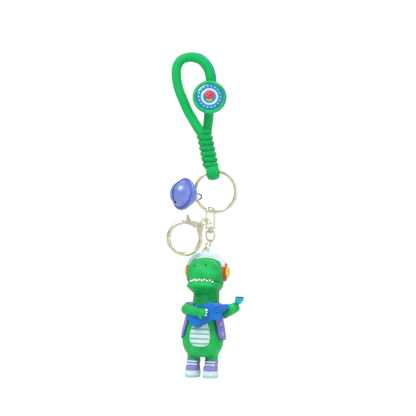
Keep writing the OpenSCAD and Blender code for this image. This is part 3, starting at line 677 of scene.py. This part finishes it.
def badge():
    """A dished housing, with a disc, a flower, a pale ring and beads on it."""
    rim = [(0, -1.4), (9.2, -1.4), (9.9, -1.3), (10.6, -0.9), (10.95, -0.4), (11, 0.2), (10.95, 0.8),
           (10.7, 1.25), (10.25, 1.5), (9.6, 1.5), (9.1, 1.35), (8.85, 1.05), (8.75, 0.75), (8.72, 0.6),
           (0, 0.6)]
    piece("badge_housing_dish", moved(lathe(rim, 96), BADGE), BADGE_GREEN, "badge", "badge_green",
          ("badge_housing",))
    dome = [(8.66, 0.5), (8.66, 0.95), (8.5, 1.06)]
    dome += [(r, 1.06 + 0.1 * (1 - (r / 8.5) ** 2)) for r in (7, 5, 3, 1, 0)]
    piece("badge_disc_dome", moved(lathe(dome, 96), BADGE), BADGE_BLUE, "badge", "badge_blue",
          ("badge_disc",))
    petals = []
    for i in range(5):
        spin = Matrix.Translation((0, 1.3, 0)) @ turn(72 * i + 90, "Z")
        petals.append(moved(lathe([(1.15, 1.0), (1.15, 1.3), (1.0, 1.45), (0.7, 1.55), (0, 1.6)], 24),
                            spin @ Matrix.Translation((1.75, 0, 0)) @ Matrix.Diagonal((1.15, 1.15, 1, 1))))
    centre = lathe([(0.95, 1.0), (0.95, 1.62), (0.75, 1.78), (0.4, 1.86), (0, 1.88)], 24)
    petals.append(moved(centre, Matrix.Translation((0, 1.3, 0))))
    piece("badge_flower_enamel", moved(joined(*petals), BADGE), BADGE_RED, "badge", "motif_red",
          ("badge_flower",))
    narrow = Matrix.Diagonal((1.15, 0.55, 1, 1))
    leaves = [moved(lathe([(1.0, 1.0), (1.0, 1.25), (0.8, 1.4), (0, 1.46)], 24),
                    Matrix.Translation((side, -2.3, 0)) @ turn(side * 35, "Z") @ narrow) for side in (-1, 1)]
    leaves.append(slab([(-0.2, -3.6), (0.2, -3.6), (0.2, -0.4), (-0.2, -0.4)], 1.0, 1.3))
    piece("badge_leaves_enamel", moved(joined(*leaves), BADGE), BADGE_LEAF, "badge", "cup_yellow")
    beads = [moved(lathe([(0.45, 1.0), (0.45, 1.25), (0.36, 1.4), (0.18, 1.48), (0, 1.5)], 14),
                   turn(20 * i, "Z") @ Matrix.Translation((7.1, 0, 0))) for i in range(18)]
    beads.append(turned_ring([(5.6, 1.02), (5.6, 1.27), (5.4, 1.4), (4.4, 1.4), (4.2, 1.27), (4.2, 1.02)]))
    piece("badge_beads_enamel", moved(joined(*beads), BADGE), BADGE_PALE, "badge", "pale", ("badge_beads",))
    softened("badge_sleeve", BADGE_GREEN, "badge", 0.35)


def split_ring():
    """One flattened wire wound twice, which steps across to its other turn halfway."""
    start = math.radians(205)
    t = np.linspace(0, 4 * math.pi, 300)
    step = 0.45
    side = np.where(t < 2 * math.pi, -1.0, 1.0)
    near = np.clip((t - 2 * math.pi) / 0.35, -1, 1)
    side = np.where(abs(near) < 1, np.sin(near * math.pi / 2), side)
    mean = RING_MEAN + 0.2 * side
    path = np.stack([RING_CENTRE[0] + mean * np.cos(t + start), step * side,
                     RING_CENTRE[2] + mean * np.sin(t + start)], 1)
    angles = 2 * math.pi * np.arange(20) / 20
    c, s = np.cos(angles), np.sin(angles)
    section = np.stack([0.9 * np.sign(c) * abs(c) ** 0.8, 0.42 * np.sign(s) * abs(s) ** 0.8], 1)
    shape = tube(path, 1, caps=False, normal=(0, 1, 0), section=section)
    piece("split_ring_coil", shape, STEEL, "split_ring", "ring_steel", ("split_ring",))


def bell_trim():
    """The crimped edge that holds the bell's two halves together."""
    edge = [(10.3, -0.95), (10.55, -0.55), (10.6, 0), (10.5, 0.45), (10.2, 0.75), (9.9, 0.62), (9.86, -0.85)]
    ring = turned_ring(smooth(edge, 3, closed=True), 128)
    piece("bell_crimp", moved(ring, BELL_AT), BELL, "bell", "bell_lacquer")


wrap()
bight()
badge()
split_ring()
bell_trim()
softened("clasp_lever", STEEL, "lever", 0.28)
softened("clasp_hook", STEEL, "clasp", 0.2)
softened("swivel_collar", STEEL, "lower_swivel", 0.18)
softened("swivel_pin", STEEL, "lower_swivel", 0.15)

# --- Figure ---

SIDES = ((1, "left"), (-1, "right"))
# The head's middle, its half width and depth, and its reach up from its widest height.
HEAD_X, HEAD_Y, HEAD_Z, HEAD_W, HEAD_D, HEAD_UP = 0.3, -1.2, 67, 12, 12.6, 10.9
# The powers of its curves up and round.
HEAD_P, HEAD_Q = 2.25, 2.4
MOUTH_Z, BAND_X, BAND_Z, EAR_X, EAR_BACK, LEG_X = 64, 0.6, 68.8, 10.3, 2.6, 5.9
EYES = ((-5.2, 72.6), (2.1, 73.2))
UPPER_TEETH = (-4.6, -1.5, 1.8, 5.4)
LOWER_TEETH = (-7.6, -6.2, -3.1, 0.2, 3.6, 7.0)
# The body's height, half width, half depth and middle.
BODY_STATIONS = [
    (13.4, 7.6, 6.4, 0.2), (15.2, 10, 8.4, -0.2), (19, 12.3, 10.2, -0.8), (24, 13.4, 11, -1),
    (30, 12.9, 10.6, -0.8), (37, 11.5, 9.4, -0.2), (43, 10.2, 8.4, 0.5), (48, 8.8, 7.7, 1),
    (55.5, 8.3, 7.6, 1)]
BODY_CURVE = smooth(BODY_STATIONS, 6)


def on_figure(name, shape, mat, slot, stands_for=(), **finish):
    """A piece of the figure, from a shape in the figure's own axes."""
    return piece(name, moved(shape, FIGURE), mat, "figure", slot, stands_for, **finish)


def plan_point(a, b, q, t):
    """A superellipse in plan, at a bearing in degrees."""
    c, s = math.cos(math.radians(t)), math.sin(math.radians(t))
    return (a * math.copysign(abs(c) ** (2 / q), c), b * math.copysign(abs(s) ** (2 / q), s))


def mouth_arch(x):
    """How far the mouth line has dropped at this distance from the head's middle."""
    return 1.8 * min((x / 11.5) ** 2, 1.2)


def egg(a, b, z_mid, up, down, z_from, z_to, p, q, lip, at):
    """A rounded solid between two heights, whose cut end at the mouth has a rounded lip.

    Its half width a and depth b are at z_mid, and p and q are the powers of its curves up and round.
    """
    sides, rings = 96, 48
    heights = [z_from + (z_to - z_from) * (1 + math.sin(math.radians(-90 + 180 * k / rings))) / 2
               for k in range(rings + 1)]
    points = []
    for z in heights:
        s = min(abs(z - z_mid) / (up if z > z_mid else down), 0.998)
        f = (1 - s ** p) ** (1 / p)
        gap = abs(z - MOUTH_Z)
        tuck = lip - math.sqrt(max(lip ** 2 - max(lip - gap, 0) ** 2, 0))
        fade = max(0.0, 1 - gap / 9) ** 1.2
        for i in range(sides):
            x, y = plan_point(a * f - tuck, b * f - tuck, q, 360 * i / sides)
            points.append((x + at[0], y + at[1], z - mouth_arch(x) * fade))
    return np.array(points), grid_faces(rings + 1, sides) + end_faces(rings + 1, sides)


def head():
    """The head over the mouth, the jaw under it, and a dark green band in the gap between them, painted
    shade.
    """
    points, faces = egg(HEAD_W, HEAD_D, HEAD_Z, HEAD_UP, 10, MOUTH_Z, 77.85, HEAD_P, HEAD_Q, 0.8,
                        (HEAD_X, HEAD_Y))
    x, y, z = points.T
    # A low brow over each eye, and a fuller muzzle over the mouth.
    for at_x, at_z in EYES:
        brow = np.array(on_face(at_x, at_z + 1.8, 0))
        points[:, 1] -= 0.35 * np.exp(-((x - brow[0]) ** 2 / 8 + (z - brow[2]) ** 2 / 2.6)) * (y < 0)
    points[:, 1] -= 0.5 * np.exp(-((z - 66.6) ** 2 / 7)) * np.clip(-y / 12, 0, 1) ** 2
    on_figure("head_skin", (points, faces), GREEN, "figure_green", ("head",))
    points, faces = egg(HEAD_W - 0.3, 12.1, 63.4, 10, 10.9, 52.8, MOUTH_Z - 0.02, 2.1, HEAD_Q, 0.8,
                        (HEAD_X, -1))
    x, y, z = points.T
    # The chin juts forward under the mouth and then runs back in to the neck.
    ahead = np.clip(-y / 12, 0, 1)
    points[:, 1] -= 1.5 * np.exp(-((z - 59.8) ** 2 / 4)) * ahead
    points[:, 1] += 1.2 * np.exp(-((z - 55.6) ** 2 / 3)) * ahead
    points[:, 0] += 1.0 * np.exp(-((z - 61.6) ** 2 / 3)) * np.clip(-x / 9, 0, 1)
    points[:, 0] -= 0.9 * np.exp(-((z - 58.8) ** 2 / 3)) * np.clip(-x / 9, 0, 1) * np.clip(-y / 8, 0, 1)
    on_figure("lower_jaw_skin", (points, faces), GREEN, "figure_green", ("lower_jaw",))
    # A band of darker green inside the mouth slit: painted shade.
    sides = 96
    band = [plan_point(HEAD_W - 1.05, 11.6, 2.5, 360 * i / sides) for i in range(sides)]
    low = np.array([(x + HEAD_X, y - 1.15, MOUTH_Z - 0.75 - mouth_arch(x)) for x, y in band])
    points = np.vstack([low, low + np.array((0, 0, 1.5))])
    on_figure("mouth_gap", (points, grid_faces(2, sides) + end_faces(2, sides)), MOUTH_SHADE, "figure_green")


def on_face(x, z, out):
    """The front of the head at a distance from its middle and a height."""
    f = (1 - (abs(z - HEAD_Z) / HEAD_UP) ** HEAD_P) ** (1 / HEAD_P)
    side = min(abs(x) / (HEAD_W * f + out), 0.99) ** (HEAD_Q / 2)
    depth = (HEAD_D * f + out) * math.sqrt(1 - side ** 2) ** (2 / HEAD_Q)
    return (x + HEAD_X, HEAD_Y - depth, z)


def teeth_and_eyes():
    eyes = [ball(on_face(at_x, at_z, -0.25), 0.78) for at_x, at_z in EYES]
    on_figure("eyes_polished", joined(*eyes), EYE, "eye_black", ("eyes",))

    def row(places, sign, out):
        profile = [(0.78, 0.0), (0.74, 0.3), (0.52, 0.75), (0.3, 1.05), (0.13, 1.17), (0, 1.2)]
        cone = moved(lathe(profile, 16), Matrix.Diagonal((1.05, 0.8, sign, 1)))
        cones = []
        for at in places:
            x, y, _ = on_face(at, MOUTH_Z + 0.4, out)
            base = (x, y, MOUTH_Z - sign * 0.3 - mouth_arch(at) + (0.1 if sign < 0 else -0.75))
            cones.append(moved(cone, Matrix.Translation(base) @ turn(at * 4.2, "Z")))
        return joined(*cones)

    on_figure("upper_teeth_points", row(UPPER_TEETH, -1, -0.1), TOOTH, "pale", ("upper_teeth",))
    on_figure("lower_teeth_points", row(LOWER_TEETH, 1, -0.15), TOOTH, "pale", ("lower_teeth",))


def body_ring_at(z):
    return [np.interp(z, BODY_CURVE[:, 0], BODY_CURVE[:, k]) for k in range(1, 4)]


def body_point(bearing, z, out):
    """A point on the body's surface, moved out by a distance: bearing 0 is straight ahead."""
    a, b, middle = body_ring_at(z)
    x, y = plan_point(a + out, b + out, 2.2, bearing - 90)
    return (x + np.interp(z, (38, 52), (0, 0.9)), y + middle, z)


def torso():
    sides = 72
    # The neck runs on up inside the jaw.
    heights = list(BODY_CURVE[:, 0]) + [57, 58.5]
    points = np.array([body_point(360 * i / sides + 90, z, 0) for z in heights for i in range(sides)])
    rows = len(heights)
    trunk = points, grid_faces(rows, sides) + end_faces(rows, sides)
    tail_route = even(smooth([(0, 7, 21), (0, 11.5, 17.5), (0, 15, 14.8), (0, 17.5, 14)], 8), 24)
    tail = tube(tail_route, np.linspace(5, 1.4, 24), 24)
    legs = [moved(lathe([(3.2, 7.4), (3.9, 7.8), (4.0, 10), (4.35, 15), (5.0, 19), (3, 21)], 40),
                  Matrix.Translation((side * LEG_X, 0.4, 0))) for side in (-1, 1)]
    on_figure("body_skin", joined(trunk, tail, *legs), GREEN, "figure_green",
              ("torso", "tail", "left_leg", "right_leg"), remesh=0.42, relax=9)


def panel(bearings_low, bearings_high, z_low, z_high, inner, outer, corner, across=22):
    """A curved panel on the body, with its lower corners rounded off by the given amounts."""
    up = 26
    points = []
    for out in (inner, outer):
        for k in range(up + 1):
            u = k / up
            for i in range(across + 1):
                v = i / across
                lift = corner[0] * max(0, 1 - v / 0.32) ** 2.2 + corner[1] * max(0, 1 - (1 - v) / 0.32) ** 2.2
                z = z_low + lift + (z_high - z_low - lift) * u
                low = bearings_low[0] + (bearings_low[1] - bearings_low[0]) * v
                high = bearings_high[0] + (bearings_high[1] - bearings_high[0]) * v
                points.append(body_point(low + (high - low) * u, z, out[0] + (out[1] - out[0]) * u))
    width = across + 1
    n = (up + 1) * width
    sheet = grid_faces(up + 1, width, wrap_cols=False)
    inside, outside = [f[::-1] for f in sheet], [tuple(i + n for i in f) for f in sheet]
    edge = list(range(width)) + [k * width + across for k in range(1, up + 1)]
    edge += [up * width + i for i in range(across - 1, -1, -1)] + [k * width for k in range(up - 1, 0, -1)]
    rim = [(a, b, b + n, a + n) for a, b in zip(edge, edge[1:] + edge[:1])]
    return np.array(points), inside + outside + rim


def belly():
    """The pale belly: an oval patch with a domed face, and four wavy raised lines across it."""
    rows, sides, points = 24, 80, []
    z_mid, half_z = 29, 8.6
    for r in range(1, rows + 1):
        k = r / rows
        # The rim turns in under the body's skin.
        out = 0.05 + 0.85 * math.sqrt(max(1 - k ** 6, 0)) if k < 1 else -0.4
        for i in range(sides):
            x, z = plan_point(27.5 * k, half_z * k, 2.9, 360 * i / sides)
            narrow = 1 - 0.1 * z / half_z
            points.append(body_point(x * narrow, z_mid + z, out))
    shape = np.array(points), grid_faces(rows, sides) + [tuple(range(sides))]
    on_figure("belly_patch", shape, BELLY, "pale", ("belly_panel",))
    waves = []
    for z in (22.6, 25.7, 28.8, 31.8):
        reach = 23 - (2.5 if z < 23 else 0)
        path = [body_point(t, z + 0.4 * math.cos(2 * math.pi * t / 6.6), 0.88)
                for t in np.linspace(-reach, reach, 150)]
        waves.append(tube(path, 0.25, 8))
    on_figure("belly_wave_lines", joined(*waves), GREEN, "figure_green", ("belly_waves",))


def vest():
    """The open vest: three panels, the hems of the front ones, two raised marks painted pale blue as painted
    highlights, and two sleeves.
    """
    z_low, z_high = 25.4, 48.5
    back = panel((100, 260), (100, 260), z_low, z_high, (0.1, 0.1), (1.3, 1.2), (0.6, 0.6), 40)
    left = panel((53, 99.6), (39, 99.6), z_low, z_high, (0.1, 0.1), (1.7, 1.2), (2.6, 0.4))
    right = panel((260.4, 308), (260.4, 321), z_low + 0.2, z_high, (-0.3, -0.2), (0.9, 1.1), (0.4, 2.2))
    for name, shape, node in (("back", back, "back"), ("left", left, "front_left"),
                              ("right", right, "front_right")):
        on_figure("vest_%s_panel" % name, shape, PURPLE, "vest_purple", ("vest_" + node,),
                  bevel=0.5, angle=50)
    # The darker hems, one round each front edge.
    hems = []
    for foot, top, out, end in ((53.4, 39.4, 1.3, 99), (307.6, 320.6, 0.5, 261)):
        down = [body_point(foot + (top - foot) * u, 25.7 + 22 * u + 2.2 * (1 - u) ** 8,
                           out + (0.75 - out) * u) for u in np.linspace(1, 0.02, 30)]
        low = [body_point(foot + (end - foot) * v, 25.55 + 2.2 * max(0, 1 - v / 0.32) ** 2.2, out)
               for v in np.linspace(0.05, 1, 20)]
        hems.append(tube(smooth(down + low, 2), 0.42, 8))
    on_figure("vest_hems", joined(*hems), PURPLE_EDGE, "vest_purple")
    # Two small raised bumps, painted pale blue as painted highlights on the front panel.
    marks = [moved(ball((0, 0, 0), 1),
                   place(body_point(t, z, out), (0.3, 0.95, 0), (0.85, -0.3, 0), (0, 0.1, 1.6)))
             for t, z, out in ((66, 35.4, 1.25), (69, 29.2, 1.45))]
    on_figure("vest_marks", joined(*marks), VEST_HIGHLIGHT, "pale")
    for name, a, b, r0, r1 in (("left", (8.2, 0.8, 45.4), (15.6, -4.5, 43.1), 3.7, 4.15),
                               ("right", (-7.4, 2.4, 45.1), (-10.3, -1.8, 44.1), 3.8, 4.25)):
        along = np.array(b) - a
        reach = float(np.linalg.norm(along))
        profile = [(0.6, -0.6), (r0 * 0.7, -0.3), (r0, 0.6)]
        profile += [(r0 + (r1 - r0) * u, reach * u) for u in (0.35, 0.6, 0.85)]
        profile += [(r1 + 0.22, reach - 0.7), (r1 + 0.25, reach - 0.3), (r1 + 0.02, reach), (r1 - 0.6, reach),
                    (r1 - 0.8, reach - 0.8)]
        shape = moved(lathe(profile, 48), aim(a, along, (0, 1, 0.2)))
        on_figure("sleeve_%s_cuffed" % name, shape, PURPLE, "vest_purple", ("sleeve_" + name,))


def ball(at, r):
    profile = [(r * math.sin(t), -r * math.cos(t)) for t in np.linspace(0.04, math.pi - 0.04, 14)]
    return moved(lathe(profile, 24), Matrix.Translation(at))


def arms():
    """Both arms with their hands and claws."""
    right = even(smooth([(-9.6, 1.5, 44.6), (-10.6, -4, 44), (-7.4, -12, 43.8), (-0.6, -16, 43.2),
                         (2.6, -16.5, 42.9)], 8), 40)
    size = np.interp(np.linspace(0, 1, 40), (0, 0.3, 0.7, 0.85, 1), (3.5, 3.75, 3.1, 2.95, 2.75))
    thumb = even(smooth([(-0.6, -17.4, 42.4), (0.8, -17.9, 40.6), (1.7, -17.9, 39.3)], 6), 14)
    knuckles = [ball((3.9 - 0.25 * i, -16.7, 44.5 - 1.5 * i), 1.05) for i in range(3)]
    shape = joined(tube(right, size, 32), tube(thumb, np.linspace(1.35, 0.85, 14), 16), *knuckles)
    on_figure("right_arm_skin", shape, GREEN, "figure_green", ("right_arm",), remesh=0.33, relax=5)
    left = even(smooth([(9.4, 1, 44.6), (13.4, -1.5, 43.2), (17.8, -6.5, 43.8), (21.8, -11.4, 46.2)], 8), 30)
    fist = [ball((21.9, -12.4, 46.2), 3.3), ball((22.9, -12.4, 46.6), 2.9), ball((20.9, -12.6, 45.4), 2.8)]
    fingers = [tube(smooth([(20.6 + 1.3 * i, -12.6, 48.6 + 0.35 * i),
                            (19.9 + 1.3 * i, -14.9, 48.3 + 0.25 * i),
                            (20.6 + 1.2 * i, -16, 46.6), (21.6 + 0.9 * i, -15.2, 45.2)], 5), 1.15, 16)
               for i in range(3)]
    shape = joined(tube(left, np.linspace(3.2, 3, 30), 28), *fist, *fingers)
    on_figure("left_arm_skin", shape, GREEN, "figure_green", ("left_arm",), remesh=0.33, relax=5)
    claw = [(0.72, -0.5), (0.7, 0.3), (0.58, 0.9), (0.36, 1.3), (0.15, 1.45), (0, 1.48)]
    shapes = [moved(lathe(claw, 16), aim((4.6 - 0.25 * i, -17, 44.6 - 1.5 * i), (1, -0.25, 0.1 - 0.2 * i),
                                         (0, 1, 0.1))) for i in range(3)]
    on_figure("right_claws_rounded", joined(*shapes), TOOTH, "pale", ("right_claws",))
    smaller = Matrix.Diagonal((0.65, 0.65, 0.65, 1))
    shapes = [moved(lathe(claw, 16), aim((19.3 + 0.9 * i, -15, 48.5 + 0.5 * i), (-0.75, -0.5, 0.4),
                                         (0, 1, 0.2)) @ smaller) for i in range(3)]
    on_figure("left_claws_rounded", joined(*shapes), TOOTH, "pale", ("left_claws",))


def guitar():
    outline = [(-6.8, 43.4), (-3.5, 47), (2.4, 47.7), (6, 49.7), (9.4, 48.8), (12, 47.7), (15.2, 48.6),
               (19.2, 48.8), (19.3, 46.6), (14.8, 43.2), (14.2, 41), (14.6, 38.9), (9, 38), (4, 35.4),
               (-1.2, 32.7), (-6, 35.6), (-8.2, 40)]
    at = Matrix.Translation((0, -11.6, 0)) @ turn(90, "X")
    body = slab(smooth(outline, 5, closed=True), 0, 3.3)
    on_figure("guitar_body_moulded", moved(body, at), BLUE, "guitar_blue", ("guitar_body",),
              bevel=0.9, angle=50)
    ridge = [(10.6, 45.2), (14.5, 47.3), (19.2, 48.9), (20.0, 46.6), (15.6, 44.4), (12.4, 43.4), (9.6, 43.6)]
    neck = slab(smooth(ridge, 4, closed=True), 3.0, 4.2)
    on_figure("guitar_neck_moulded", moved(neck, at), BLUE, "guitar_blue", ("guitar_neck",),
              bevel=0.4, angle=40)
    end = slab([(18.6, 49.2), (19.5, 49.0), (19.8, 46.9), (19.0, 46.4)], 0.3, 3.5)
    on_figure("guitar_neck_joint", moved(end, at), DARK, "guitar_blue", bevel=0.25, angle=40)
    stock = slab([(22.6, 51.0), (23.0, 53.1), (23.6, 53.7), (27.9, 53.7), (28.7, 52.3), (26.4, 49.4),
                  (24.9, 48.6)], 0.9, 2.9)
    on_figure("guitar_headstock_moulded", moved(stock, at), TEAL, "headstock_teal", ("guitar_headstock",),
              bevel=0.45, angle=30)
    top = slab([(23.3, 53.4), (23.4, 53.95), (28.1, 53.95), (28.3, 53.4)], 0.8, 3.0)
    on_figure("guitar_headstock_edge", moved(top, at), DARK, "headstock_teal", bevel=0.15, angle=30)


def headphones():
    for side, name in SIDES:
        at = Matrix.Translation((BAND_X + side * EAR_X, EAR_BACK, BAND_Z)) @ turn(side * 90, "Y")
        pad = [(0, 0.05), (4.6, 0.02), (5.6, 0.12), (6.15, 0.6), (6.3, 1.3), (6.15, 2.0), (5.6, 2.5),
               (4.9, 2.62), (4.3, 2.45), (0, 2.45)]
        on_figure("ear_cushion_%s_rounded" % name, moved(lathe(pad, 72), at), RED, "cushion_red",
                  ("ear_cushion_" + name,), subdivide=1)
        cup = [(0, 2.4), (4.1, 2.4), (4.15, 2.95), (3.95, 3.5), (3.4, 3.95), (2.6, 4.25), (1.6, 4.42),
               (0, 4.48)]
        on_figure("ear_cup_%s_domed" % name, moved(lathe(cup, 72), at), YELLOW, "cup_yellow",
                  ("ear_cup_" + name,))
    softened("headband", BAND, "figure", 0.7, "headband_rounded")


def shoes():
    """Both shoes: a sole with its tread, an upper and the bars of the laces."""
    sides, middle = 64, -1.1

    def outline(grow):
        points = []
        for i in range(sides):
            x, y = plan_point(4.35 + grow, 7.3 + grow, 2.35, 360 * i / sides)
            points.append((x - 0.1 * (y < 0), y + middle))
        return np.array(points)

    for side, name in SIDES:
        at = Matrix.Translation((side * LEG_X, 0, 0))
        sole = slab(outline(0.45), 1.5, 4.6)
        on_figure("shoe_sole_%s_moulded" % name, moved(sole, at), PALE, "pale", ("shoe_sole_" + name,),
                  bevel=0.55, angle=50)
        # The tread is painted a darker teal grey than the sole: painted shade on the sole's underside.
        tread = slab(outline(0.3), 0.02, 1.9)
        on_figure("shoe_tread_%s" % name, moved(tread, at), SOLE_SHADE, "pale", bevel=0.5, angle=50)
        # Heights, with each outline's growth, share of the full depth and shift back.
        rows = [(4.6, 0.0, 1.0, 0), (5.4, 0.05, 1.0, 0), (6.6, 0.0, 0.97, 0), (7.6, -0.3, 0.88, 0.5),
                (8.6, -0.35, 0.76, 1.1), (9.6, -0.15, 0.67, 1.5), (10.6, -0.05, 0.63, 1.6),
                (11.4, 0.0, 0.625, 1.6), (11.7, -0.1, 0.61, 1.6)]
        points = []
        for z, grow, deep, back in rows:
            for x, y in outline(grow):
                points.append((x, (y - middle) * deep + middle + back, z))
        upper = np.array(points), grid_faces(len(rows), sides) + end_faces(len(rows), sides)
        on_figure("shoe_upper_%s_moulded" % name, moved(upper, at), PURPLE, "vest_purple",
                  ("shoe_upper_" + name,), bevel=0.3, angle=45)
    laces = []
    for side in (-1, 1):
        for z, y in ((10.4, -4.15), (8.5, -5.1)):
            path = [(side * LEG_X + x, y + 0.035 * x * x, z) for x in np.linspace(-2.9, 2.9, 12)]
            laces.append(tube(path, 0.55, 12))
    on_figure("shoe_lace_bars", joined(*laces), PALE, "pale", ("shoe_laces",))


head()
teeth_and_eyes()
torso()
belly()
vest()
arms()
guitar()
headphones()
shoes()

# --- CAD pieces that stay ---

for node in ("upper_shackle", "lower_shackle", "side_ring", "lever_pin", "figure_jump_ring"):
    finish_node(node, STEEL)
for node, mat in (("bell_slotted_shell", BELL), ("bell_loop_shell", BELL), ("bell_loop", BELL_LOOP),
                  ("bell_clapper", STEEL_DARK), ("lever_spring", STEEL_DARK)):
    finish_node(node, mat)

# --- Floor ---


def floor():
    data = bpy.data.meshes.new("floor")
    points, faces = lathe([(700, -302), (700, -300)], 96)
    data.from_pydata((points * MM).tolist(), [], faces)
    mat, tree, shader = new_material("floor_pale", (238, 238, 236), 0.7)
    tint(tree, shader, noise(tree, object_coords(tree), 8, 2), (232, 232, 230), (240, 240, 238))
    data.materials.append(mat)
    new_object("floor", data)


floor()
